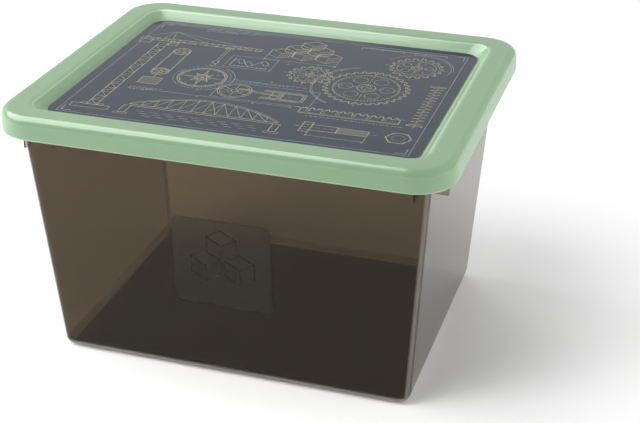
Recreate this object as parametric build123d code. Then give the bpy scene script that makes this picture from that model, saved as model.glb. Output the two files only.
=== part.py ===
"""A storage box for building blocks: a tapered see-through tub with a deep lid that lifts off.

The origin is at the centre of the footprint, on the surface that the box stands on. X runs along
the width, the front faces -Y, and Z is up. Lengths are in millimetres and angles in degrees.
"""

import os
from math import radians, sin, tan

from build123d import *

# Tub: outside size at the base before its edges are rounded, and height to the rim's top
base_width = 318.8
base_depth = 241.4
bin_height = 233.6
wall_draft = 3.83
bin_wall = 2.2
floor_thickness = 2.4
bin_edge_radius = 10.0

# Rim: the wall turns out at the top, then down as a lip
rim_overhang = 14.3
rim_thickness = 2.0
rim_lip_height = 14.6
rim_edge_radius = 5.0
rim_channel_chamfer = 1.8
mouth_edge_radius = 3.0

# Gussets: thin plates that hold up the rim, two near each corner
gusset_thickness = 1.2
gusset_height = 27.7
gusset_side_inset = 25.1
gusset_front_inset = 26.6
gusset_side_setback = 0.4
gusset_front_setback = 3.9

# Pad: a low square on the front wall
pad_width = 86.0
pad_height = 83.0
pad_centre_height = 115.5
pad_corner_radius = 5.5
pad_proud = 0.6

# Lid: skirt and ring
lid_wall = 2.2
lid_clearance = 1.0
lid_seat_gap = 0.2
lid_skirt_height = 19.5
lid_skirt_draft = 1.0
lid_corner_radius = 34.0
lid_edge_radius = 6.5
skirt_edge_chamfer = 0.9

# Lid: the recess that the sheet lies in, which also takes the base of a box stacked on top
recess_depth = 8.2
recess_slope = 43.0
recess_corner_radius = 15.5
recess_shoulder_radius = 8.0
stacking_clearance = 0.7

# Lid: beads inside the skirt that sit below the rim's lip
bead_proud = 0.6
bead_height = 1.4
bead_lip_clearance = 0.4
bead_front_length = 90.0
bead_side_length = 60.0

# Sheet in the recess
sheet_thickness = 0.6
sheet_clearance = 0.5

# Cuts and joins run past the face they start from by this much
overrun = 1.0
quarter_turn = 90.0

# A hollow's rounding is the outside rounding less the wall, and at least this share of it
tight_radius_share = 0.25
half_share = 0.5

# Places that follow from the sizes above
wall_lean = tan(radians(wall_draft))
skirt_lean = tan(radians(lid_skirt_draft))
recess_lean = quarter_turn - recess_slope
recess_run = tan(radians(recess_lean))
base_half_x = base_width * half_share
base_half_y = base_depth * half_share
rim_half_x = base_half_x + bin_height * wall_lean + rim_overhang
rim_half_y = base_half_y + bin_height * wall_lean + rim_overhang
lip_bottom = bin_height - rim_lip_height
rim_underside = bin_height - rim_thickness
rim_corner_radius = lid_corner_radius - lid_wall - lid_clearance
lid_underside = bin_height + lid_seat_gap
lid_top = lid_underside + lid_wall
lid_half_x = rim_half_x + lid_clearance + lid_wall
lid_half_y = rim_half_y + lid_clearance + lid_wall
skirt_bottom = lid_top - lid_skirt_height
recess_floor = lid_top - recess_depth
recess_half_x = base_half_x + stacking_clearance
recess_half_y = base_half_y + stacking_clearance


def inside_radius(outside_radius, thickness):
    """The rounding on the inside of a wall whose outside rounding is given."""
    return max(outside_radius - thickness, outside_radius * tight_radius_share)


def wall_half(base_half, height):
    """Half the outside size of the tub at a height above the ground."""
    return base_half + height * wall_lean


def leaning_block(half_x, half_y, corner_radius, bottom, top, lean_angle):
    """A block on a rounded rectangle whose four sides lean out from upright by an angle."""
    outline = RectangleRounded(2 * half_x, 2 * half_y, corner_radius)
    return extrude(Plane.XY.offset(bottom) * outline, top - bottom, taper=-lean_angle)


def flared_block(half_x, half_y, bottom, top, lean_angle):
    """A block on a plain rectangle whose four flat sides lean out from upright by an angle."""
    base_plane = Plane.XY.offset(bottom)
    upright = extrude(base_plane * Rectangle(2 * half_x, 2 * half_y), top - bottom)
    return draft(upright.faces().filter_by(Axis.Z, reverse=True), base_plane, -lean_angle)


def tub_block(inset, bottom, top, edge_radius):
    """The tub's tapered form, drawn in from the outside by inset, rounded all over but at its top."""
    half_x = wall_half(base_half_x, bottom) - inset
    half_y = wall_half(base_half_y, bottom) - inset
    block = flared_block(half_x, half_y, bottom, top, wall_draft)
    low_edges, upright_edges = block.edges().group_by(Axis.Z)[:2]
    return fillet(low_edges + upright_edges, edge_radius)


def rounded_top(block, edge_radius):
    """The same block with the edges round its top face rounded."""
    return fillet(block.faces().sort_by(Axis.Z)[-1].edges(), edge_radius)


def rim_shell():
    """The rim alone: a flat ring with its lip turned down, still filled over the tub's mouth."""
    outside = leaning_block(
        rim_half_x, rim_half_y, rim_corner_radius, lip_bottom, bin_height, 0
    )
    outside = rounded_top(outside, rim_edge_radius)
    channel = leaning_block(
        rim_half_x - rim_thickness,
        rim_half_y - rim_thickness,
        inside_radius(rim_corner_radius, rim_thickness),
        lip_bottom - overrun,
        rim_underside,
        0,
    )
    channel = chamfer(channel.faces().sort_by(Axis.Z)[-1].edges(), rim_channel_chamfer)
    return outside - channel


def gusset_plate(foot_reach, head_reach):
    """A thin upright plate across the whole tub, whose two ends are gussets under the rim."""
    foot = bin_height - gusset_height
    head = rim_underside + rim_thickness * half_share
    outline = Polygon(
        (-foot_reach, foot),
        (foot_reach, foot),
        (head_reach, head),
        (-head_reach, head),
        align=None,
    )
    return extrude(Plane.XZ * outline, gusset_thickness * half_share, both=True)


def gussets():
    """Four plates, two each way, that leave eight gussets once the tub is hollowed."""
    front_reach = rim_half_y - rim_thickness - gusset_front_setback
    side_foot_reach = rim_half_x - rim_thickness - gusset_side_setback
    side_head_reach = rim_half_x - rim_thickness * half_share
    front_plate = Rot(0, 0, quarter_turn) * gusset_plate(front_reach, front_reach)
    side_plate = gusset_plate(side_foot_reach, side_head_reach)
    plates = []
    for side in (-1, 1):
        plates.append(Pos(side * (rim_half_x - gusset_side_inset), 0, 0) * front_plate)
        plates.append(Pos(0, side * (rim_half_y - gusset_front_inset), 0) * side_plate)
    return plates


def front_pad():
    """The low square on the front wall, lying along the wall's lean."""
    wall_y = -wall_half(base_half_y, pad_centre_height)
    outward = Vector(0, -1, -wall_lean)
    wall_plane = Plane(
        origin=(0, wall_y, pad_centre_height), x_dir=(1, 0, 0), z_dir=outward
    )
    face = wall_plane * RectangleRounded(pad_width, pad_height, pad_corner_radius)
    buried = bin_wall * half_share
    return extrude(face, pad_proud) + extrude(face, -buried)


def make_bin():
    """The tub: base, walls, rim, gussets and pad in one moulding."""
    body = tub_block(0, 0, bin_height, bin_edge_radius) + rim_shell()
    for plate in gussets():
        body += plate
    body += front_pad()
    body -= tub_block(
        bin_wall,
        floor_thickness,
        bin_height + overrun,
        inside_radius(bin_edge_radius, bin_wall),
    )
    top_face = body.faces().filter_by(Axis.Z).sort_by(Axis.Z)[-1]
    mouth_edges = top_face.inner_wires()[0].edges()
    return fillet(mouth_edges, mouth_edge_radius)


def recess_block(offset, bottom, top):
    """The form of the recess between two heights, with its sloping sides moved out by offset."""
    slope_share = sin(radians(recess_slope))
    shift = offset / slope_share + (bottom - recess_floor) * recess_run
    block = flared_block(recess_half_x + shift, recess_half_y + shift, bottom, top, recess_lean)
    corner_edges = block.edges().group_by(Axis.Z)[1]
    return fillet(corner_edges, recess_corner_radius / slope_share + offset)


def lid_block(inset, bottom, top, edge_radius):
    """The lid's outside form, drawn in by inset, with its top edges rounded."""
    shift = (bottom - skirt_bottom) * -skirt_lean - inset
    block = leaning_block(
        lid_half_x + shift,
        lid_half_y + shift,
        lid_corner_radius + shift,
        bottom,
        top,
        -lid_skirt_draft,
    )
    return rounded_top(block, edge_radius)


def lid_hollow():
    """The space under the lid: inside the skirt, but outside the recess and its wall."""
    hollow = lid_block(
        lid_wall,
        skirt_bottom - overrun,
        lid_underside,
        inside_radius(lid_edge_radius, lid_wall),
    )
    hollow -= recess_block(lid_wall, recess_floor - lid_wall, lid_underside + overrun)
    ceiling = hollow.faces().filter_by(Axis.Z).sort_by(Axis.Z)[-1]
    shoulder_edges = ceiling.inner_wires()[0].edges()
    return fillet(shoulder_edges, inside_radius(recess_shoulder_radius, lid_wall))


def snap_beads():
    """Beads at the middle of each side of the skirt, just below the rim's lip."""
    top = lip_bottom - bead_lip_clearance
    middle = top - bead_height * half_share
    radius = bead_height * half_share
    shift = (middle - skirt_bottom) * skirt_lean + lid_wall
    beads = []
    for side in (-1, 1):
        inner_y = side * (lid_half_y - shift - bead_proud + radius)
        inner_x = side * (lid_half_x - shift - bead_proud + radius)
        beads.append(
            Pos(0, inner_y, middle) * Rot(0, quarter_turn, 0) * Cylinder(radius, bead_front_length)
        )
        beads.append(
            Pos(inner_x, 0, middle) * Rot(quarter_turn, 0, 0) * Cylinder(radius, bead_side_length)
        )
    return beads


def make_lid():
    """The lid: skirt, ring and recess in one moulding of even thickness."""
    body = lid_block(0, skirt_bottom, lid_top, lid_edge_radius)
    body = chamfer(body.faces().sort_by(Axis.Z)[0].edges(), skirt_edge_chamfer)
    body -= recess_block(0, recess_floor, lid_top + overrun)
    ring = body.faces().filter_by(Axis.Z).sort_by(Axis.Z)[-1]
    body = fillet(ring.inner_wires()[0].edges(), recess_shoulder_radius)
    body -= lid_hollow()
    for bead in snap_beads():
        body += bead
    return body


def make_sheet():
    """The printed sheet that lies on the floor of the recess."""
    return leaning_block(
        recess_half_x - sheet_clearance,
        recess_half_y - sheet_clearance,
        recess_corner_radius - sheet_clearance,
        recess_floor,
        recess_floor + sheet_thickness,
        0,
    )


os.makedirs("parts", exist_ok=True)
pieces = {
    "bin": make_bin(),
    "lid": make_lid(),
    "lid_graphic_sheet": make_sheet(),
}
for name, piece in pieces.items():
    export_step(piece, f"parts/{name}.step")
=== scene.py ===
"""Looks for the building block storage box: materials, sheet drawing, studio and camera.

Lengths are in metres, in the same frame as the CAD parts, but a drawing is laid out in
millimetres on its own surface. Colours are linear.
"""

from math import atan2, cos, pi, radians, sin, tan

import bpy
from mathutils import Matrix, Vector


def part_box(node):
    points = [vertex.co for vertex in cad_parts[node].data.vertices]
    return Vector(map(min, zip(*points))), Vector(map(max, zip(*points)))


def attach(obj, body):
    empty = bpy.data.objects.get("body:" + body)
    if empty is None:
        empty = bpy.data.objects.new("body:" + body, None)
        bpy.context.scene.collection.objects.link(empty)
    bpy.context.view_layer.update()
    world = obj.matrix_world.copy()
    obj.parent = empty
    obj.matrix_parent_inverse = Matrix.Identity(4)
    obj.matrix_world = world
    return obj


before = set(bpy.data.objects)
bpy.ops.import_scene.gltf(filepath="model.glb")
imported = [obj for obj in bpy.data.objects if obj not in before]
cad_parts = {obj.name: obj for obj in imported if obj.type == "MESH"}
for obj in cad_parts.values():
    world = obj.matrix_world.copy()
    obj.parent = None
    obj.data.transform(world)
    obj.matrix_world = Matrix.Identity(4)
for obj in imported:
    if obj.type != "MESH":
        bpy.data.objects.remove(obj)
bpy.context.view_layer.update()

MM = 0.001

# Camera, as it stood for the photograph
CAMERA_PLACE = (0.37661, -1.05591, 0.67867)
CAMERA_TURN = radians(17.476)
CAMERA_DIP = radians(27.24)
CAMERA_ROLL = 0.0021
CAMERA_LENS = 77.71
CAMERA_NEAR = 0.05
CAMERA_FAR = 100.0
SENSOR_WIDTH = 36.0

# Colours
GREEN = (0.207, 0.35, 0.196, 1)
GREEN_WORN = (0.26, 0.405, 0.248, 1)
# Painted shade at the foot of the lid's recess
GREEN_PAINTED_SHADE = (0.19, 0.29, 0.18, 1)
# Painted highlight on the skirt's lowest edge and the recess crest
GREEN_EDGE_HIGHLIGHT = (0.5, 0.66, 0.47, 1)
SLATE = (0.006, 0.011, 0.028, 1)
SLATE_PALE = (0.011, 0.017, 0.038, 1)
SLATE_SHINE = (0.78, 0.89, 1.0, 1)
PAPER = (0.62, 0.62, 0.58, 1)
CREAM_INK = (0.5, 0.47, 0.26, 1)
PALE_INK = (0.42, 0.44, 0.48, 1)
SMOKE_HAZE = (0.9, 0.84, 0.76, 1)
SMOKE_THROUGH = (0.269, 0.2, 0.089, 1)
SMOKE_DUST = (1.0, 0.84, 0.68, 1)
SMOKE_SHINE = (0.35, 0.33, 0.3, 1)
EMBLEM_DARK = (0.014, 0.012, 0.009, 1)
FLOOR_WHITE = (0.93, 0.93, 0.93, 1)

# Smoked plastic: how dark it is by thickness, how it bends light, its clear share and its pad
SMOKE_DENSITY = 640.0
SMOKE_IOR = 1.42
SMOKE_CLEAR = 0.993
PAD_ROUGHNESS = 0.38
PAD_HAZE = 0.009

# Lid: its lowest edge, the sheet on its recess floor, and how far up the recess has painted shade
# of a deeper green
SKIRT_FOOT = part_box("lid")[0].z
SHEET_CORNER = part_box("lid_graphic_sheet")[1]
SHEET_TOP = SHEET_CORNER.z
RECESS_FOOT = SHEET_TOP + 2.0 * MM
RECESS_FOOT_FADE = 1.0 * MM

# The crest where the lid's ring turns down into the recess
CREST_HALF_X = 0.1683
CREST_HALF_Y = 0.1296
CREST_RADIUS = 0.0155
CREST_REACH = 1.1 * MM

# The tub's walls and its pad, as in the CAD source
BASE_HALF_WIDTH = 0.1594
BASE_HALF_DEPTH = 0.1207
WALL_LEAN = tan(radians(3.83))
TUB_EDGE_RADIUS = 0.01
PAD_HALF_WIDTH = 0.043
PAD_CENTRE_HEIGHT = 0.1155
PAD_PROUD = 0.0006
PAD_MARGIN = 0.001
ABOVE_PAD = 0.17

# Depths in the tub's wall that tell its inner face from its outer one
INNER_DEPTH = -1.6 * MM
OUTER_DEPTH = -0.6 * MM

# Most noise values lie between these
NOISE_LOW = 0.3
NOISE_HIGH = 0.7

# Drawings, in millimetres: line widths, how high the ink lies and how strokes stack up
FINE = 0.34
MIDDLE = 0.5
INK_LIFT = 0.03
STROKE_STEP = 0.0002
LEAST_STEP = 0.01
LEAST_MITRE = 0.5
ROUND_STEPS = 56
DASH = 4.0
DASH_GAP = 2.0
ARROW_HEAD = 2.2
ARROW_SPREAD = 0.35

# Places on the sheet that more than one drawing uses, in millimetres from its middle
LARGE_GEAR = (82.0, 12.0)
IDLE_GEAR = (112.0, 70.5)
ROSE = (-62.0, -8.0)

# A cube seen corner on: half its width, and the rise of its slanting edges, by its edge
CUBE_HALF_SHARE = cos(pi / 6)
CUBE_RISE_SHARE = sin(pi / 6)


def new_tree(name):
    """A new material with an empty node tree."""
    material = bpy.data.materials.new(name)
    material.use_nodes = True
    material.node_tree.nodes.clear()
    return material, material.node_tree


def add(tree, kind, inputs=None, **settings):
    """Adds a node. Each input is given a value, or linked where it is another node's socket."""
    node = tree.nodes.new(kind)
    for key, value in settings.items():
        setattr(node, key, value)
    for key, value in (inputs or {}).items():
        if isinstance(value, bpy.types.NodeSocket):
            tree.links.new(value, node.inputs[key])
        else:
            node.inputs[key].default_value = value
    return node


def maths(tree, operation, first, *others):
    """Works on one value, or takes several together two at a time."""
    result = first
    for other in others or (0.0,):
        inputs = {0: result, 1: other}
        result = add(tree, "ShaderNodeMath", inputs, operation=operation).outputs[0]
    return result


def noise(tree, vector, scale, detail=3.0):
    inputs = {"Vector": vector, "Scale": scale, "Detail": detail}
    return add(tree, "ShaderNodeTexNoise", inputs).outputs["Fac"]


def band(tree, value, low, high, to_low, to_high):
    """Maps value from low..high onto to_low..to_high, held at the ends."""
    inputs = {0: value, 1: low, 2: high, 3: to_low, 4: to_high}
    return add(tree, "ShaderNodeMapRange", inputs, clamp=True).outputs[0]


def rise(tree, value, start, end):
    """Nothing up to start, and one from end on."""
    return band(tree, value, start, end, 0.0, 1.0)


def fall(tree, value, start, end):
    """One up to start, and nothing from end on."""
    return band(tree, value, start, end, 1.0, 0.0)


def spread(tree, cloud, low, high):
    """Spreads a noise over the values from low to high."""
    return band(tree, cloud, NOISE_LOW, NOISE_HIGH, low, high)


def scuffs(tree, place, scale, low, high, depth=1.0):
    """Streaks up to depth, from a noise with its own scale along each axis."""
    stretched = add(tree, "ShaderNodeMapping", {"Vector": place, "Scale": scale})
    streaks = noise(tree, stretched.outputs[0], scale=1.0, detail=2.0)
    return band(tree, streaks, low, high, 0.0, depth)


def blend_colours(tree, share, first, second):
    node = add(tree, "ShaderNodeMix", {0: share, 6: first, 7: second}, data_type="RGBA")
    return node.outputs[2]


def blend_values(tree, share, first, second):
    node = add(tree, "ShaderNodeMix", {0: share, 2: first, 3: second}, data_type="FLOAT")
    return node.outputs[0]


def object_place(tree):
    return add(tree, "ShaderNodeTexCoord").outputs["Object"]


def split_axes(tree, vector):
    """The three parts of a vector."""
    return add(tree, "ShaderNodeSeparateXYZ", {0: vector}).outputs


def facing(tree, axis):
    """How squarely a face looks along an axis, either way."""
    normal = add(tree, "ShaderNodeNewGeometry").outputs["Normal"]
    return maths(tree, "ABSOLUTE", split_axes(tree, normal)[axis])


def bump(tree, height, strength, distance):
    inputs = {"Height": height, "Strength": strength, "Distance": distance}
    return add(tree, "ShaderNodeBump", inputs).outputs[0]


def finish_material(tree, surface, volume=None):
    inputs = {"Surface": surface}
    if volume is not None:
        inputs["Volume"] = volume
    add(tree, "ShaderNodeOutputMaterial", inputs)


def finish_plain(tree, inputs):
    """Ends a material with one principled shader."""
    shader = add(tree, "ShaderNodeBsdfPrincipled", inputs)
    finish_material(tree, shader.outputs[0])


def rounded_distance(tree, beyond, radius):
    """Distance outside a rounded form, from how far a place lies beyond each side of its core."""
    squares = []
    for side in beyond:
        squares.append(maths(tree, "POWER", maths(tree, "MAXIMUM", side, 0.0), 2.0))
    outside = maths(tree, "SQRT", maths(tree, "ADD", *squares))
    inside = maths(tree, "MINIMUM", maths(tree, "MAXIMUM", *beyond), 0.0)
    return maths(tree, "SUBTRACT", maths(tree, "ADD", outside, inside), radius)


def crest_distance(tree, axes):
    """Distance outside the crest of the lid's recess, negative inside it."""
    beyond = []
    for axis, half in ((0, CREST_HALF_X), (1, CREST_HALF_Y)):
        reach = maths(tree, "ABSOLUTE", axes[axis])
        beyond.append(maths(tree, "SUBTRACT", reach, half - CREST_RADIUS))
    return rounded_distance(tree, beyond, CREST_RADIUS)


def tub_distance(tree, axes):
    """Distance outside the tub's rounded and tapered form, negative in its wall and within it."""
    flare = maths(tree, "MULTIPLY", axes[2], WALL_LEAN)
    beyond = [maths(tree, "SUBTRACT", TUB_EDGE_RADIUS, axes[2])]
    for axis, half in ((0, BASE_HALF_WIDTH), (1, BASE_HALF_DEPTH)):
        reach = maths(tree, "SUBTRACT", maths(tree, "ABSOLUTE", axes[axis]), flare)
        beyond.append(maths(tree, "SUBTRACT", reach, half - TUB_EDGE_RADIUS))
    return rounded_distance(tree, beyond, TUB_EDGE_RADIUS)


def edge_highlights(tree, height, off_crest):
    """Painted highlight: one at the skirt's lowest edge, and up to a half along the crest of the
    recess.
    """
    full_highlight, no_highlight, crest_share = 0.8 * MM, 1.5 * MM, 0.5
    foot = fall(tree, height, SKIRT_FOOT + full_highlight, SKIRT_FOOT + no_highlight)
    crest = band(tree, maths(tree, "ABSOLUTE", off_crest), 0.0, CREST_REACH, crest_share, 0.0)
    return maths(tree, "MAXIMUM", foot, crest)


def recess_foot_shade(tree, height, off_crest):
    """Painted shade: one at the foot of the recess, and nothing elsewhere."""
    well_inside, just_inside = -2.0 * MM, -1.0 * MM
    in_recess = fall(tree, off_crest, well_inside, just_inside)
    low_down = fall(tree, height, RECESS_FOOT, RECESS_FOOT + RECESS_FOOT_FADE)
    return maths(tree, "MULTIPLY", in_recess, low_down)


def green_plastic():
    """Moulded lid plastic: satin, with a ripple and scuffs, a painted highlight of paler green on
    its lowest edge and recess crest, and painted shade at the recess foot.
    """
    material, tree = new_tree("green_plastic")
    place = object_place(tree)
    axes = split_axes(tree, place)
    off_crest = crest_distance(tree, axes)
    foot_shade = recess_foot_shade(tree, axes[2], off_crest)
    cloud = noise(tree, place, scale=14.0, detail=4.0)
    ripple = noise(tree, place, scale=260.0, detail=2.0)
    streaks = scuffs(tree, place, scale=(90.0, 2100.0, 900.0), low=0.66, high=0.74)
    patches = band(tree, cloud, 0.5, 0.7, 0.0, 0.35)
    worn = maths(tree, "MULTIPLY", streaks, patches)
    share = maths(tree, "ADD", worn, spread(tree, cloud, 0.0, 0.12))
    colour = blend_colours(tree, share, GREEN, GREEN_WORN)
    # Painted highlight: paler green on the skirt's lowest edge and along the recess crest
    colour = blend_colours(tree, edge_highlights(tree, axes[2], off_crest), colour, GREEN_EDGE_HIGHLIGHT)
    # Painted shade: deeper green at the foot of the recess
    colour = blend_colours(tree, foot_shade, colour, GREEN_PAINTED_SHADE)
    satin = spread(tree, cloud, 0.15, 0.21)
    scuffed = maths(tree, "MULTIPLY", worn, 0.3)
    upright = band(tree, facing(tree, 2), 0.05, 0.35, 0.15, 0.0)
    dull_foot = maths(tree, "MULTIPLY", foot_shade, 0.22)
    inputs = {
        "Base Color": colour,
        "Roughness": maths(tree, "ADD", satin, scuffed, upright, dull_foot),
        "Specular IOR Level": 0.8,
        "Normal": bump(tree, ripple, strength=0.06, distance=0.2 * MM),
    }
    finish_plain(tree, inputs)
    return material


def pad_share(tree, axes):
    """One on the pad's face, which stands proud of the front wall, and nothing elsewhere."""
    start_share, end_share = 0.5, 0.7
    forward = maths(tree, "MULTIPLY", axes[1], -1.0)
    flare = maths(tree, "MULTIPLY", axes[2], WALL_LEAN)
    proud = maths(tree, "SUBTRACT", forward, BASE_HALF_DEPTH, flare)
    on_face = rise(tree, proud, PAD_PROUD * start_share, PAD_PROUD * end_share)
    across = maths(tree, "ABSOLUTE", axes[0])
    in_width = fall(tree, across, PAD_HALF_WIDTH + PAD_MARGIN, PAD_HALF_WIDTH + 2 * PAD_MARGIN)
    below_rim = fall(tree, axes[2], ABOVE_PAD, ABOVE_PAD + 2 * PAD_MARGIN)
    return maths(tree, "MULTIPLY", on_face, in_width, below_rim)


def edge_haze(tree, axes):
    """Haze on the tub's rounded edges, strong on its wall's inside and faint on its outside."""
    inside, corner_outside, foot_outside = 0.6, 0.12, 0.2
    side_weight, foot_fade = 0.8, 4.0 * MM
    side, front, up = [facing(tree, axis) for axis in range(3)]
    squarest = maths(tree, "MAXIMUM", maths(tree, "MULTIPLY", side, side_weight), front, up)
    depth = tub_distance(tree, axes)
    turning = fall(tree, squarest, 0.7, 0.79)
    corner_depth = band(tree, depth, INNER_DEPTH, OUTER_DEPTH, inside, corner_outside)
    corner = maths(tree, "MULTIPLY", turning, corner_depth)
    tilted = maths(tree, "MULTIPLY", rise(tree, up, 0.17, 0.35), fall(tree, up, 0.94, 0.985))
    low_down = fall(tree, axes[2], TUB_EDGE_RADIUS, TUB_EDGE_RADIUS + foot_fade)
    foot_depth = band(tree, depth, INNER_DEPTH, OUTER_DEPTH, inside, foot_outside)
    foot = maths(tree, "MULTIPLY", tilted, low_down, foot_depth)
    return maths(tree, "MAXIMUM", corner, foot)


def smoked_plastic():
    """See-through brown plastic: tinted by its thickness, with a frosted pad on the front wall."""
    material, tree = new_tree("smoked_plastic")
    place = object_place(tree)
    axes = split_axes(tree, place)
    on_pad = pad_share(tree, axes)
    flow = noise(tree, place, scale=22.0)
    grain = noise(tree, place, scale=1500.0, detail=2.0)
    streaks = scuffs(tree, place, scale=(1800.0, 1800.0, 120.0), low=0.7, high=0.78, depth=0.12)
    smooth = maths(tree, "ADD", spread(tree, flow, 0.02, 0.05), streaks)
    haze = maths(tree, "ADD", edge_haze(tree, axes), maths(tree, "MULTIPLY", on_pad, PAD_HAZE))
    frosting = maths(tree, "MULTIPLY", grain, on_pad, 0.4)
    height = maths(tree, "ADD", flow, frosting)
    inputs = {
        "Base Color": SMOKE_HAZE,
        "Roughness": blend_values(tree, on_pad, smooth, PAD_ROUGHNESS),
        "IOR": SMOKE_IOR,
        "Specular Tint": SMOKE_SHINE,
        "Transmission Weight": maths(tree, "SUBTRACT", SMOKE_CLEAR, haze),
        "Sheen Weight": 0.55,
        "Sheen Roughness": 0.2,
        "Sheen Tint": SMOKE_DUST,
        "Normal": bump(tree, height, strength=0.1, distance=0.6 * MM),
    }
    shader = add(tree, "ShaderNodeBsdfPrincipled", inputs)
    tint = {"Color": SMOKE_THROUGH, "Density": SMOKE_DENSITY}
    volume = add(tree, "ShaderNodeVolumeAbsorption", tint)
    finish_material(tree, shader.outputs[0], volume.outputs[0])
    return material


def emblem_plastic():
    """The darker smoked plastic of the raised lines on the pad."""
    material, tree = new_tree("emblem_plastic")
    cloud = noise(tree, object_place(tree), scale=60.0, detail=2.0)
    inputs = {
        "Base Color": EMBLEM_DARK,
        "Roughness": spread(tree, cloud, 0.35, 0.5),
        "Specular IOR Level": 0.3,
    }
    finish_plain(tree, inputs)
    return material


def printed_sheet():
    """Dark printed card with a faint grain, and bare paper on its cut edges."""
    material, tree = new_tree("printed_sheet")
    place = object_place(tree)
    fibre = noise(tree, place, scale=900.0)
    cloud = noise(tree, place, scale=9.0)
    colour = blend_colours(tree, spread(tree, cloud, 0.0, 1.0), SLATE, SLATE_PALE)
    colour = blend_colours(tree, rise(tree, facing(tree, 2), 0.4, 0.6), PAPER, colour)
    inputs = {
        "Base Color": colour,
        "Roughness": spread(tree, fibre, 0.08, 0.13),
        "Specular Tint": SLATE_SHINE,
        "Normal": bump(tree, fibre, strength=0.08, distance=0.1 * MM),
    }
    finish_plain(tree, inputs)
    return material


def ink(name, colour):
    """Printed ink, thin enough that its coverage varies a little."""
    material, tree = new_tree(name)
    cover = noise(tree, object_place(tree), scale=700.0)
    shade = blend_colours(tree, band(tree, cover, 0.35, 0.65, 0.0, 0.3), colour, SLATE_PALE)
    finish_plain(tree, {"Base Color": shade, "Roughness": spread(tree, cover, 0.2, 0.3)})
    return material


def polar(centre, radius, angle):
    return (centre[0] + radius * cos(angle), centre[1] + radius * sin(angle))


def arc(centre, radius, start=0.0, turn=2 * pi, steps=ROUND_STEPS):
    """Points round part of a circle, both ends among them."""
    return [polar(centre, radius, start + turn * i / steps) for i in range(steps + 1)]


class Drawing:
    """Strokes on a flat surface, in millimetres, that are made into one mesh of thin ribbons."""

    def __init__(self):
        self.strokes = []

    def line(self, points, width=MIDDLE, closed=False):
        kept = []
        for point in map(Vector, points):
            if not kept or (point - kept[-1]).length > LEAST_STEP:
                kept.append(point)
        if len(kept) > 1:
            self.strokes.append((kept, width, closed))

    def circle(self, centre, radius, width=MIDDLE):
        self.line(arc(centre, radius)[:-1], width, closed=True)

    def rectangle(self, centre, size, width=MIDDLE):
        x, y = centre
        w, h = size[0] / 2, size[1] / 2
        corners = [(x - w, y - h), (x + w, y - h), (x + w, y + h), (x - w, y + h)]
        self.line(corners, width, closed=True)

    def rectangles(self, middle, blocks):
        """Named rectangles, each with its place from the middle, its size and its line width."""
        for (x, y), size, width in blocks.values():
            self.rectangle((middle[0] + x, middle[1] + y), size, width)

    def dashes(self, start, end, dash=DASH, gap=DASH_GAP):
        start, end = Vector(start), Vector(end)
        length = (end - start).length
        along = (end - start) / length
        done = 0.0
        while done < length:
            self.line([start + along * done, start + along * min(done + dash, length)], FINE)
            done += dash + gap

    def dashed_circle(self, centre, radius, count):
        filled_share = 0.6
        turn = 2 * pi / count
        for i in range(count):
            self.line(arc(centre, radius, i * turn, turn * filled_share, steps=4), FINE)

    def arrow(self, start, end):
        """A dimension line with a head at each end."""
        self.line([start, end], FINE)
        for tip, tail in ((start, end), (end, start)):
            back = atan2(tail[1] - tip[1], tail[0] - tip[0])
            barbs = [polar(tip, ARROW_HEAD, back + turn) for turn in (ARROW_SPREAD, -ARROW_SPREAD)]
            self.line([barbs[0], tip, barbs[1]], FINE)

    def ribbons(self):
        """Corner points and faces of every stroke, mitred, each a hair higher than the last."""
        corners, faces = [], []
        for layer, (points, width, closed) in enumerate(self.strokes):
            level = layer * STROKE_STEP
            count = len(points)
            first = len(corners)
            for i, point in enumerate(points):
                before = points[i - 1] if closed or i else point
                after = points[(i + 1) % count] if closed or i + 1 < count else point
                arriving = (point - before).normalized()
                leaving = (after - point).normalized()
                leaving = leaving if leaving.length else arriving
                arriving = arriving if arriving.length else leaving
                along = (arriving + leaving).normalized()
                if along.length == 0:
                    along = leaving
                reach = width / 2 / max(along.dot(leaving), LEAST_MITRE)
                side = Vector((-along.y, along.x)) * reach
                corners += [(*(point + side), level), (*(point - side), level)]
            for i in range(count if closed else count - 1):
                a = first + 2 * i
                b = first + 2 * ((i + 1) % count)
                faces.append((a, a + 1, b + 1, b))
        return corners, faces


def lay_on_sheet(name, drawing, material, lift=INK_LIFT):
    """Makes a drawing into a piece just above the sheet, moving with the lid."""
    corners, faces = drawing.ribbons()
    places = [(x * MM, y * MM, SHEET_TOP + (lift + z) * MM) for x, y, z in corners]
    mesh = bpy.data.meshes.new(name)
    mesh.from_pydata(places, [], faces)
    mesh.materials.append(material)
    piece = bpy.data.objects.new(name, mesh)
    bpy.context.scene.collection.objects.link(piece)
    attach(piece, "lid")


def gear_teeth(centre, root, tip, teeth, phase):
    """The outline of a gear with straight-sided teeth."""
    foot_share, head_share = 0.3, 0.16
    sides = ((root, -foot_share), (tip, -head_share), (tip, head_share), (root, foot_share))
    pitch = 2 * pi / teeth
    outline = []
    for i in range(teeth):
        for radius, share in sides:
            outline.append(polar(centre, radius, phase + i * pitch + share * pitch))
    return outline


def keyed_bore(drawing, centre, bore):
    """A round bore with a square keyway at its top."""
    gap, key, low, high = 0.5, bore * 0.48, bore * 0.88, bore * 1.4
    drawing.line(arc(centre, bore, pi / 2 + gap, 2 * pi - 2 * gap, steps=30), FINE)
    x, y = centre
    corners = [(x - key, y + low), (x - key, y + high), (x + key, y + high), (x + key, y + low)]
    drawing.line(corners, FINE)


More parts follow.
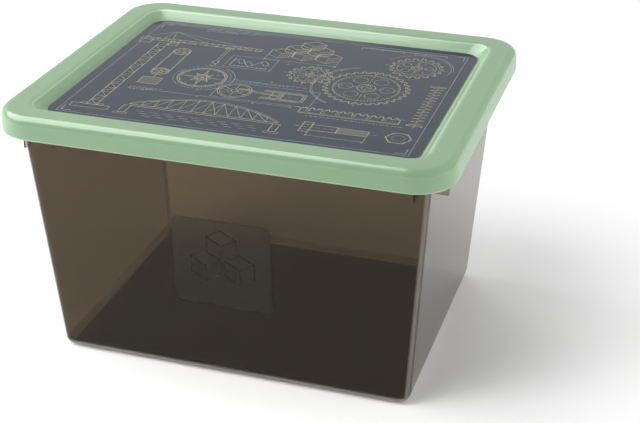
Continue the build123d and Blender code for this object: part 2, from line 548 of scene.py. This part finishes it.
def draw_gear(drawing, centre, root, teeth, phase=0.0, holes=6):
    """A spur gear seen from the front: teeth, a rim with ticks, a keyed hub and a ring of holes."""
    tooth_height, least_hub, overhang = 3.6, 3.5, 5.0
    rim_share, tick_share, hub_share, bore_share, hole_share = 0.86, 0.8, 0.24, 0.55, 0.3
    rim, tick, tip = root * rim_share, root * tick_share, root + tooth_height
    drawing.line(gear_teeth(centre, root, tip, teeth, phase), MIDDLE, closed=True)
    drawing.circle(centre, rim, FINE)
    for i in range(teeth * 2):
        angle = phase + i * pi / teeth
        drawing.line([polar(centre, tick, angle), polar(centre, rim, angle)], FINE)
    drawing.dashed_circle(centre, root + tooth_height / 2, teeth)
    hub = max(root * hub_share, least_hub)
    drawing.circle(centre, hub)
    keyed_bore(drawing, centre, hub * bore_share)
    for i in range(holes):
        place = polar(centre, (rim + hub) / 2, phase + 2 * pi * i / holes)
        drawing.circle(place, (rim - hub) * hole_share, FINE)
    x, y = centre
    reach = tip + overhang
    drawing.dashes((x - reach, y), (x + reach, y))
    drawing.dashes((x, y - reach), (x, y + reach))


def gear_train():
    """A large gear with a smaller one on either side."""
    drawing = Drawing()
    small_gear = (26.3, 26.3)
    draw_gear(drawing, LARGE_GEAR, root=34.0, teeth=30)
    draw_gear(drawing, small_gear, root=16.5, teeth=15, phase=0.12, holes=5)
    draw_gear(drawing, IDLE_GEAR, root=20.5, teeth=18, phase=0.1, holes=5)
    return drawing


def lattice(drawing, start, end, half_width, bays):
    """Two parallel chords from start to end, with a zigzag and posts between them."""
    start, end = Vector(start), Vector(end)
    along = (end - start).normalized()
    side = Vector((-along.y, along.x)) * half_width
    drawing.line([start + side, end + side])
    drawing.line([start - side, end - side])
    joints = [start + (end - start) * i / bays for i in range(bays + 1)]
    drawing.line([joint + side * (1 if i % 2 else -1) for i, joint in enumerate(joints)], FINE)
    for joint in joints:
        drawing.line([joint + side, joint - side], FINE)


def tower_crane():
    """A tower crane: its footing, mast, jib, cab, counterweight, stays and hook."""
    drawing = Drawing()
    x, ground, head = -128.0, -100.0, 62.0
    mast_half, mast_foot = 4.5, 8.0
    jib_y, jib_half, jib_back, jib_front = head + 8.0, 3.0, 26.0, 94.0
    blocks = {
        "footing": ((0.0, ground + 4.0), (34.0, 7.0), MIDDLE),
        "plinth": ((0.0, ground + 9.5), (20.0, 3.0), FINE),
        "counterweight": ((-19.0, head + 1.0), (11.0, 8.0), MIDDLE),
        "cab": ((9.5, head), (8.0, 9.0), MIDDLE),
    }
    sill_y, sill_start, sill_end = head + 1.0, 5.5, 13.5
    peak, stay_reaches = (x, head + 31.0), (-24.0, 40.0, 78.0)
    hoist_x, rope_half, rope_top, rope_foot = x + 64.0, 1.2, head + 1.5, head - 30.0
    trolley_y, trolley, weight_y, weight = head + 3.0, (7.0, 3.0), head - 32.5, (5.0, 5.0)
    hook_y, hook_radius, hook_turn = head - 38.5, 2.4, -1.4 * pi
    lattice(drawing, (x, ground + mast_foot), (x, head), mast_half, bays=16)
    lattice(drawing, (x - jib_back, jib_y), (x + jib_front, jib_y), jib_half, bays=22)
    drawing.rectangles((x, 0.0), blocks)
    drawing.line([(x + sill_start, sill_y), (x + sill_end, sill_y)], FINE)
    jib_top = jib_y + jib_half
    drawing.line([(x - mast_half, jib_top), peak, (x + mast_half, jib_top)])
    for reach in stay_reaches:
        drawing.line([peak, (x + reach, jib_top)], FINE)
    drawing.rectangle((hoist_x, trolley_y), trolley)
    for side in (-1, 1):
        rope = hoist_x + side * rope_half
        drawing.line([(rope, rope_top), (rope, rope_foot)], FINE)
    drawing.rectangle((hoist_x, weight_y), weight)
    drawing.line(arc((hoist_x, hook_y), hook_radius, pi / 2, hook_turn, steps=14))
    return drawing


def truss_bridge():
    """A bowed truss bridge on two piers over water, with its span marked."""
    drawing = Drawing()
    left, right, deck, rise_at_middle, bays = -98.0, 34.0, -82.0, 24.0, 12
    deck_depth, bow_depth, span_mark = 3.0, 2.4, 34.0
    pier_drop, pier, footing_drop, footing = 10.5, (6.0, 15.0), 19.5, (12.0, 3.0)
    water_drop, water_step, water_inset, water_dash, water_gap = 12.0, 4.0, 12.0, 7.0, 5.0
    for y in (deck, deck - deck_depth):
        drawing.line([(left, y), (right, y)])
    tops = []
    for i in range(bays + 1):
        share = 2 * i / bays - 1
        tops.append((left + i * (right - left) / bays, deck + rise_at_middle * (1 - share**2)))
    drawing.line(tops)
    drawing.line([(x, y + bow_depth) for x, y in tops], FINE)
    for i, (x, y) in enumerate(tops):
        drawing.line([(x, deck), (x, y)], FINE)
        if 0 < i < bays:
            toward = tops[i - 1] if i > bays / 2 else tops[i + 1]
            drawing.line([(x, deck), toward], FINE)
    for x in (left, right):
        drawing.rectangle((x, deck - pier_drop), pier)
        drawing.rectangle((x, deck - footing_drop), footing, FINE)
    for row in range(3):
        y = deck - water_drop - row * water_step
        start = left + water_inset + row * water_step
        drawing.dashes((start, y), (right - water_inset, y), water_dash, water_gap)
    drawing.arrow((left, deck + span_mark), (right, deck + span_mark))
    return drawing


def draw_cube(drawing, foot, edge):
    """An upright cube seen corner on: its outline and the three edges that meet in front."""
    x, y = foot
    half, low = edge * CUBE_HALF_SHARE, edge * CUBE_RISE_SHARE
    outline = [
        (x, y),
        (x + half, y + low),
        (x + half, y + low + edge),
        (x, y + 2 * low + edge),
        (x - half, y + low + edge),
        (x - half, y + low),
    ]
    drawing.line(outline, closed=True)
    for end in outline[::2]:
        drawing.line([(x, y + edge), end], FINE)


def shade_cube(drawing, foot, edge):
    """Upright lines on a cube's right face."""
    bands, thinner = 5, FINE * 0.8
    half, low = edge * CUBE_HALF_SHARE, edge * CUBE_RISE_SHARE
    for i in range(1, bands):
        share = i / bands
        x, y = foot[0] + half * share, foot[1] + low * share
        drawing.line([(x, y), (x, y + edge)], thinner)


def cube_stack():
    """Six cubes in three rows, with their width marked."""
    drawing = Drawing()
    foot_x, foot_y, edge, rows = 8.0, 57.0, 13.0, 3
    drawn_share, row_share, mark_drop, mark_end = 0.96, 0.667, 5.0, 8.0
    half, low = edge * CUBE_HALF_SHARE, edge * CUBE_RISE_SHARE
    for row in range(rows):
        for i in range(rows - row):
            x = foot_x + (2 * i - (rows - 1 - row)) * half
            foot = (x, foot_y + row * (edge + low) * row_share)
            draw_cube(drawing, foot, edge * drawn_share)
            shade_cube(drawing, foot, edge * drawn_share)
    left, right = foot_x - rows * half, foot_x + rows * half
    drawing.arrow((left, foot_y - mark_drop), (right, foot_y - mark_drop))
    for x in (left, right):
        drawing.line([(x, foot_y - mark_end), (x, foot_y + low)], FINE)
    return drawing


def compass_rose():
    """A compass rose: a ring of ticks, an inner circle and two four-pointed stars."""
    drawing = Drawing()
    radius, tick, long_tick, ticks = 22.0, 2.2, 4.4, 72
    hub_share, waist_share, star_points = 0.3, 0.17, 4
    stars = ((0.78, 0.0), (0.52, pi / star_points))
    drawing.circle(ROSE, radius)
    drawing.circle(ROSE, radius - tick, FINE)
    drawing.circle(ROSE, radius * hub_share, FINE)
    for i in range(ticks):
        angle = 2 * pi * i / ticks
        inner = radius - (tick if i % 6 else long_tick)
        drawing.line([polar(ROSE, inner, angle), polar(ROSE, radius, angle)], FINE)
    for reach_share, turn in stars:
        star = []
        for i in range(star_points):
            angle = turn + 2 * pi * i / star_points
            star.append(polar(ROSE, radius * reach_share, angle))
            star.append(polar(ROSE, radius * waist_share, angle + pi / star_points))
        drawing.line(star, closed=True)
        for tip in star[::2]:
            drawing.line([ROSE, tip], FINE)
    return drawing


def hex_bolt():
    """A hexagon bolt from the side, with its length marked, and a nut from the end."""
    drawing = Drawing()
    x, y = 62.0, -82.0
    head, shank, threaded, head_edge = (8.0, 19.0), (22.0, 11.0), (26.0, 9.6), 5.0
    thread_inset, thread_pitch, thread_slant, thread_half, threads = 0.5, 1.95, 1.2, 5.4, 13
    axis_start, axis_end = 14.0, 55.0
    mark_drop, mark_start, mark_end = 16.0, 7.0, 18.0
    nut_x, nut, nut_chamfer, nut_thread, nut_dashes = x + 73.0, 11.0, 9.4, 5.4, 16
    thread_x, end_x = x + shank[0], x + shank[0] + threaded[0]
    drawing.rectangle((x - head[0] / 2, y), head)
    for side in (1, -1):
        level = y + side * head_edge
        drawing.line([(x - head[0], level), (x, level)], FINE)
    drawing.rectangle((x + shank[0] / 2, y), shank)
    drawing.rectangle((thread_x + threaded[0] / 2, y), threaded)
    for i in range(threads):
        left = thread_x + thread_inset + i * thread_pitch
        drawing.line([(left, y - thread_half), (left + thread_slant, y + thread_half)], FINE)
    drawing.dashes((x - axis_start, y), (x + axis_end, y))
    drawing.arrow((x, y - mark_drop), (end_x, y - mark_drop))
    for place in (x, end_x):
        drawing.line([(place, y - mark_start), (place, y - mark_end)], FINE)
    centre = (nut_x, y)
    drawing.line([polar(centre, nut, pi / 3 * i) for i in range(6)], closed=True)
    drawing.circle(centre, nut_chamfer, FINE)
    drawing.dashed_circle(centre, nut_thread, nut_dashes)
    return drawing


def wave_plot():
    """Two waves on a pair of axes."""
    drawing = Drawing()
    left, low, wide, high = -50.0, 27.0, 34.0, 20.0
    short_tick, long_tick, ticks, steps, middle_share = 2.0, 3.2, 8, 48, 0.52
    waves = ((1.5, 0.36, MIDDLE), (3.0, 0.2, FINE))
    drawing.line([(left, low + high), (left, low), (left + wide, low)])
    for i in range(1, ticks + 1):
        x = left + wide * i / ticks
        drawing.line([(x, low), (x, low + (short_tick if i % 2 else long_tick))], FINE)
    for cycles, size_share, width in waves:
        wave = []
        for i in range(steps + 1):
            share = i / steps
            height_share = middle_share + size_share * sin(2 * pi * cycles * share)
            wave.append((left + wide * share, low + high * height_share))
        drawing.line(wave, width)
    return drawing


def measuring_marks():
    """The drawing's border, its corner marks, a scale along the back and small crosses."""
    drawing = Drawing()
    inset, corner_inset, corner_leg = 9.0, 3.0, 9.0
    scale_inset, start, end, marks = 5.0, 52.0, 132.0, 40
    short_mark, middle_mark, long_mark = 2.0, 3.4, 5.0
    cross, cross_columns, cross_rows = 1.5, (-100.0, -50.0, 0.0, 50.0), (-50.0, 0.0, 45.0)
    half_x, half_y = SHEET_CORNER.x / MM - inset, SHEET_CORNER.y / MM - inset
    drawing.rectangle((0.0, 0.0), (2 * half_x, 2 * half_y), FINE)
    for sx in (-1, 1):
        for sy in (-1, 1):
            x, y = sx * (half_x - corner_inset), sy * (half_y - corner_inset)
            drawing.line([(x - sx * corner_leg, y), (x, y), (x, y - sy * corner_leg)])
    scale_y = half_y - scale_inset
    drawing.line([(start, scale_y), (end, scale_y)])
    for i in range(marks + 1):
        x = start + (end - start) * i / marks
        reach = long_mark if i % 10 == 0 else middle_mark if i % 5 == 0 else short_mark
        drawing.line([(x, scale_y), (x, scale_y - reach)], MIDDLE if i % 10 == 0 else FINE)
    for x in cross_columns:
        for y in cross_rows:
            drawing.line([(x - cross, y), (x + cross, y)], FINE)
            drawing.line([(x, y - cross), (x, y + cross)], FINE)
    return drawing


def coil_spring():
    """A coil spring standing between two end plates, with its axis dashed."""
    drawing = Drawing()
    x, low, high, half, coils = 141.0, -52.0, 30.0, 4.4, 13
    wire, plate, plate_gap, overhang = 0.7, (13.0, 2.4), 2.0, 8.0
    pitch = (high - low) / coils
    for i in range(coils):
        y = low + pitch * i
        middle = y + pitch * 0.5
        drawing.line([(x - half, y), (x + half, middle)])
        drawing.line([(x + half, middle), (x - half, y + pitch)], FINE)
        drawing.line(arc((x - half, y), wire, pi / 2, pi, steps=6), FINE)
        drawing.line(arc((x + half, middle), wire, -pi / 2, pi, steps=6), FINE)
    for y in (low - plate_gap, high + plate_gap):
        drawing.rectangle((x, y), plate)
    drawing.dashes((x, low - overhang), (x, high + overhang))
    return drawing


def piston_engine():
    """A lying engine cut open: flywheel, crank, rod, piston and finned cylinder."""
    drawing = Drawing()
    x, y = -24.0, -28.0
    wheel, rim, hub, spokes = 15.0, 2.0, 3.0, 6
    throw, throw_dashes, crank_angle = 6.5, 18, 0.9
    rod_length, pin_radius, rod_half = 36.0, 1.5, 1.0
    bore, jacket, fin, fins, fin_pitch = 6.0, 2.0, 3.0, 17, 2.0
    piston_length, piston_reach, ring_start, ring_pitch, rings = 10.0, 2.0, 3.0, 1.4, 3
    mouth, head = x + 25.0, x + 61.0
    axis_start, axis_end = 18.0, 5.0
    centre = (x, y)
    drawing.circle(centre, wheel)
    drawing.circle(centre, wheel - rim, FINE)
    drawing.circle(centre, hub)
    drawing.dashed_circle(centre, throw, throw_dashes)
    for i in range(spokes):
        angle = pi / 6 + 2 * pi * i / spokes
        drawing.line([polar(centre, hub, angle), polar(centre, wheel - rim, angle)], FINE)
    pin, wrist = polar(centre, throw, crank_angle), (x + rod_length, y)
    for end in (pin, wrist):
        drawing.circle(end, pin_radius, FINE)
    for offset in (-rod_half, rod_half):
        drawing.line([(pin[0] + rod_half, pin[1] + offset), (wrist[0], wrist[1] + offset)])
    drawing.rectangle((wrist[0] + piston_reach, y), (piston_length, 2 * bore))
    for i in range(rings):
        ring = wrist[0] + ring_start + i * ring_pitch
        drawing.line([(ring, y - bore), (ring, y + bore)], FINE)
    for side in (-1, 1):
        wall, outside = y + side * bore, y + side * (bore + jacket)
        drawing.line([(mouth, wall), (head, wall), (head, y)])
        drawing.line([(mouth, outside), (head + jacket, outside)])
        for i in range(fins):
            place = mouth + fin_pitch * (i + 0.5)
            drawing.line([(place, outside), (place, outside + side * fin)], FINE)
    drawing.line([(head + jacket, y - bore - jacket), (head + jacket, y + bore + jacket)])
    drawing.dashes((x - axis_start, y), (head + axis_end, y))
    return drawing


def rope_tackle():
    """Two pulleys, the rope between them and the block that they lift."""
    drawing = Drawing()
    x, high, low, radius = -103.0, 46.0, -6.0, 8.0
    groove, axle, hole, hole_share, holes, rope_width = 1.4, 2.0, 1.1, 0.55, 5, 0.9
    load_top, load, load_marks, mark_pitch = low - 14.5, (18.0, 15.0), 8, 2.0
    for y in (high, low):
        drawing.circle((x, y), radius)
        drawing.circle((x, y), radius - groove, FINE)
        drawing.circle((x, y), axle, FINE)
        for i in range(holes):
            place = polar((x, y), radius * hole_share, pi / 2 + 2 * pi * i / holes)
            drawing.circle(place, hole, FINE)
    for side in (-1, 1):
        for inset in (0.0, rope_width):
            rope = x + side * (radius - inset)
            drawing.line([(rope, low), (rope, high)], FINE)
    drawing.line([(x, low), (x, load_top)])
    drawing.rectangle((x, load_top - load[1] / 2), load)
    for i in range(1, load_marks + 1):
        mark = x - load[0] / 2 + i * mark_pitch
        drawing.line([(mark, load_top - load[1]), (mark, load_top)], FINE)
    return drawing


def toothed_rack():
    """A straight rack with a row of holes, and the line that a gear would roll along."""
    drawing = Drawing()
    start, foot, root, teeth, pitch = 42.0, -56.0, -47.0, 13, 6.6
    tooth_height, lip, hole, overhang = 3.4, 2.0, 1.6, 4.0
    tip, end = root + tooth_height, start + teeth * pitch
    tooth = ((0.2, root), (0.36, tip), (0.64, tip), (0.8, root))
    outline = [(start, foot), (start, root)]
    for i in range(teeth):
        for share, y in tooth:
            outline.append((start + (i + share) * pitch, y))
    outline += [(end, root), (end, foot)]
    drawing.line(outline, closed=True)
    drawing.line([(start, foot + lip), (end, foot + lip)], FINE)
    rolling = root + tooth_height / 2
    drawing.dashes((start - overhang, rolling), (end + overhang, rolling))
    for i in range(1, teeth, 2):
        drawing.circle((start + i * pitch, (foot + lip + root) / 2), hole, FINE)
    return drawing


def bar_rows(drawing, corner, rows, length):
    """Rows of short bars, in the place of written notes. Counts set each bar's length."""
    row_step, bar_unit, gap, shorter_share = 2.4, 0.8, 1.0, 0.12
    for row in range(rows):
        x, y = corner[0], corner[1] - row * row_step
        end = x + length * (1 - shorter_share * (row * 2 % 5))
        step = 0
        while x < end:
            bar = (2 + (row * 5 + step * 3) % 4) * bar_unit
            drawing.line([(x, y), (min(x + bar, end), y)])
            x += bar + gap
            step += 1


def construction_lines():
    """Faint arcs about the main figures, frames round two of them and rows of bars."""
    drawing = Drawing()
    # Each arc's centre and radius, then its start and its turn in half turns
    arcs = (
        (LARGE_GEAR, 47.0, 0.62, 0.72),
        (LARGE_GEAR, 48.5, 0.62, 0.72),
        (IDLE_GEAR, 31.0, -0.1, 0.95),
        (IDLE_GEAR, 33.0, 0.0, 0.6),
        (ROSE, 29.0, -0.45, 1.05),
    )
    frames = {
        "plot": ((-33.0, 37.0), (44.0, 28.0), FINE),
        "engine": ((4.0, -28.0), (88.0, 34.0), FINE),
    }
    ring, ring_dashes = 25.5, 40
    for centre, radius, start, turn in arcs:
        drawing.line(arc(centre, radius, start * pi, turn * pi), FINE)
    drawing.dashed_circle(ROSE, ring, ring_dashes)
    drawing.rectangles((0.0, 0.0), frames)
    bar_rows(drawing, (-103.0, 109.0), rows=3, length=64.0)
    bar_rows(drawing, (-34.0, -4.5), rows=2, length=68.0)
    bar_rows(drawing, (-114.0, -45.0), rows=3, length=30.0)
    bar_rows(drawing, (50.0, -60.5), rows=1, length=84.0)
    return drawing


def pad_emblem(material):
    """Three plain cubes in low relief on the tub's pad, drawn by raised lines."""
    edge, line_radius, buried_share, apart_share = 15.0, 0.55 * MM, 0.35, 1.16
    apart, low_row, high_row = edge * CUBE_HALF_SHARE * apart_share, -18.0, 3.0
    drawing = Drawing()
    for foot in ((-apart, low_row), (apart, low_row), (0.0, high_row)):
        draw_cube(drawing, foot, edge)
    curve = bpy.data.curves.new("pad_emblem", "CURVE")
    curve.dimensions = "3D"
    curve.bevel_depth = line_radius
    curve.bevel_resolution = 3
    up = Vector((0, -WALL_LEAN, 1)).normalized()
    out = Vector((0, -1, -WALL_LEAN)).normalized()
    wall_y = -(BASE_HALF_DEPTH + PAD_CENTRE_HEIGHT * WALL_LEAN)
    centre = Vector((0, wall_y, PAD_CENTRE_HEIGHT)) + out * (PAD_PROUD - line_radius * buried_share)
    for points, _width, closed in drawing.strokes:
        spline = curve.splines.new("POLY")
        spline.points.add(len(points) - 1)
        spline.use_cyclic_u = closed
        for target, point in zip(spline.points, points):
            target.co = (*(centre + Vector((point[0] * MM, 0, 0)) + up * point[1] * MM), 1)
    piece = bpy.data.objects.new("pad_emblem", curve)
    bpy.context.scene.collection.objects.link(piece)
    curve.materials.append(material)
    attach(piece, "bin")


def seen_directly(tree):
    """One where the camera, a reflection or a see-through surface looks, and nothing for light."""
    ray = add(tree, "ShaderNodeLightPath")
    kinds = ("Is Camera Ray", "Is Glossy Ray", "Is Transmission Ray")
    return maths(tree, "MAXIMUM", *[ray.outputs[kind] for kind in kinds])


def floor_material():
    """Pale floor that keeps the shadow, and is seen white where it is far from the lamps."""
    near, far, near_glow, far_glow = 1.2, 4.0, 0.12, 1.0
    material, tree = new_tree("studio_floor")
    reach = add(tree, "ShaderNodeVectorMath", {0: object_place(tree)}, operation="LENGTH")
    level = band(tree, reach.outputs["Value"], near, far, near_glow, far_glow)
    diffuse = add(tree, "ShaderNodeBsdfDiffuse", {"Color": FLOOR_WHITE})
    strength = maths(tree, "MULTIPLY", seen_directly(tree), level)
    glow = add(tree, "ShaderNodeEmission", {"Strength": strength})
    both = add(tree, "ShaderNodeAddShader", {0: diffuse.outputs[0], 1: glow.outputs[0]})
    finish_material(tree, both.outputs[0])
    return material


def make_floor():
    half, low = 12.0, -0.2 * MM
    corners = [(-half, -half, low), (half, -half, low), (half, half, low), (-half, half, low)]
    mesh = bpy.data.meshes.new("studio_floor")
    mesh.from_pydata(corners, [], [(0, 1, 2, 3)])
    mesh.materials.append(floor_material())
    floor = bpy.data.objects.new("studio_floor", mesh)
    bpy.context.scene.collection.objects.link(floor)


def make_world():
    """Even pale surroundings, brighter to the eye than the light that they give."""
    light_strength, seen_strength = 0.28, 1.0
    world = bpy.data.worlds.new("studio_world")
    world.use_nodes = True
    tree = world.node_tree
    tree.nodes.clear()
    strength = band(tree, seen_directly(tree), 0.0, 1.0, light_strength, seen_strength)
    background = add(tree, "ShaderNodeBackground", {"Strength": strength})
    add(tree, "ShaderNodeOutputWorld", {"Surface": background.outputs[0]})
    bpy.context.scene.world = world


def add_lamp(name, place, size, power, target=(0.0, 0.0, 0.12), shape="RECTANGLE"):
    """An area lamp that points at its target, which is the box unless another is given."""
    lamp = bpy.data.lights.new(name, "AREA")
    lamp.shape = shape
    lamp.size, lamp.size_y = size
    lamp.energy = power
    holder = bpy.data.objects.new(name, lamp)
    holder.location = place
    direction = Vector(target) - Vector(place)
    holder.rotation_mode = "QUATERNION"
    holder.rotation_quaternion = direction.to_track_quat("-Z", "Y")
    bpy.context.scene.collection.objects.link(holder)
    return holder


def make_lights():
    """A round lamp that only shiny surfaces see, and five lamps that no reflection shows."""
    sheen = add_lamp(
        "sheen",
        place=(-2.64, 0.05, 2.5),
        size=(4.72, 4.72),
        power=235.0,
        target=(-2.64, 0.05, 0.0),
        shape="ELLIPSE",
    )
    sheen.visible_diffuse = False
    lamps = [
        add_lamp("key", place=(-1.7, -1.6, 4.16), size=(2.8, 2.8), power=105.0),
        add_lamp("low_left", place=(-5.9, 0.0, 1.04), size=(2.8, 1.0), power=300.0),
        add_lamp(
            "front_fill",
            place=(-1.0, -0.95, 1.0),
            size=(0.6, 0.5),
            power=8.8,
            target=(0.0, -0.15, 0.15),
        ),
        add_lamp("back_fill", place=(-0.79, 2.16, 3.28), size=(2.4, 2.0), power=35.0),
        add_lamp(
            "right_fill",
            place=(4.0, 0.3, 0.72),
            size=(3.2, 1.0),
            power=120.0,
            target=(0.19, 0.0, 0.2),
        ),
    ]
    for lamp in lamps:
        lamp.visible_glossy = False


def make_camera():
    data = bpy.data.cameras.new("camera")
    data.lens = CAMERA_LENS
    data.sensor_width = SENSOR_WIDTH
    data.sensor_fit = "HORIZONTAL"
    data.clip_start, data.clip_end = CAMERA_NEAR, CAMERA_FAR
    camera = bpy.data.objects.new("camera", data)
    turn = Matrix.Rotation(CAMERA_TURN, 4, "Z") @ Matrix.Rotation(pi / 2 - CAMERA_DIP, 4, "X")
    roll = Matrix.Rotation(CAMERA_ROLL, 4, "Z")
    camera.matrix_world = Matrix.Translation(CAMERA_PLACE) @ turn @ roll
    bpy.context.scene.collection.objects.link(camera)
    bpy.context.scene.camera = camera


def dress(node, material):
    """Gives a CAD node its material."""
    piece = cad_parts[node]
    piece.data.materials.clear()
    piece.data.materials.append(material)


dress("bin", smoked_plastic())
dress("lid", green_plastic())
dress("lid_graphic_sheet", printed_sheet())

cream, pale = ink("cream_ink", CREAM_INK), ink("pale_ink", PALE_INK)
cream_drawings = {
    "drawing_gears": gear_train,
    "drawing_crane": tower_crane,
    "drawing_bridge": truss_bridge,
    "drawing_cubes": cube_stack,
    "drawing_compass": compass_rose,
    "drawing_bolt": hex_bolt,
    "drawing_spring": coil_spring,
    "drawing_engine": piston_engine,
    "drawing_tackle": rope_tackle,
    "drawing_rack": toothed_rack,
}
for name, draw in cream_drawings.items():
    lay_on_sheet(name, draw(), cream)
lay_on_sheet("drawing_arcs", construction_lines(), pale)
lay_on_sheet("drawing_plot", wave_plot(), pale)
lay_on_sheet("drawing_marks", measuring_marks(), pale, INK_LIFT / 2)
pad_emblem(emblem_plastic())

make_floor()
make_world()
make_lights()
make_camera()
bpy.context.scene.view_settings.view_transform = "Standard"
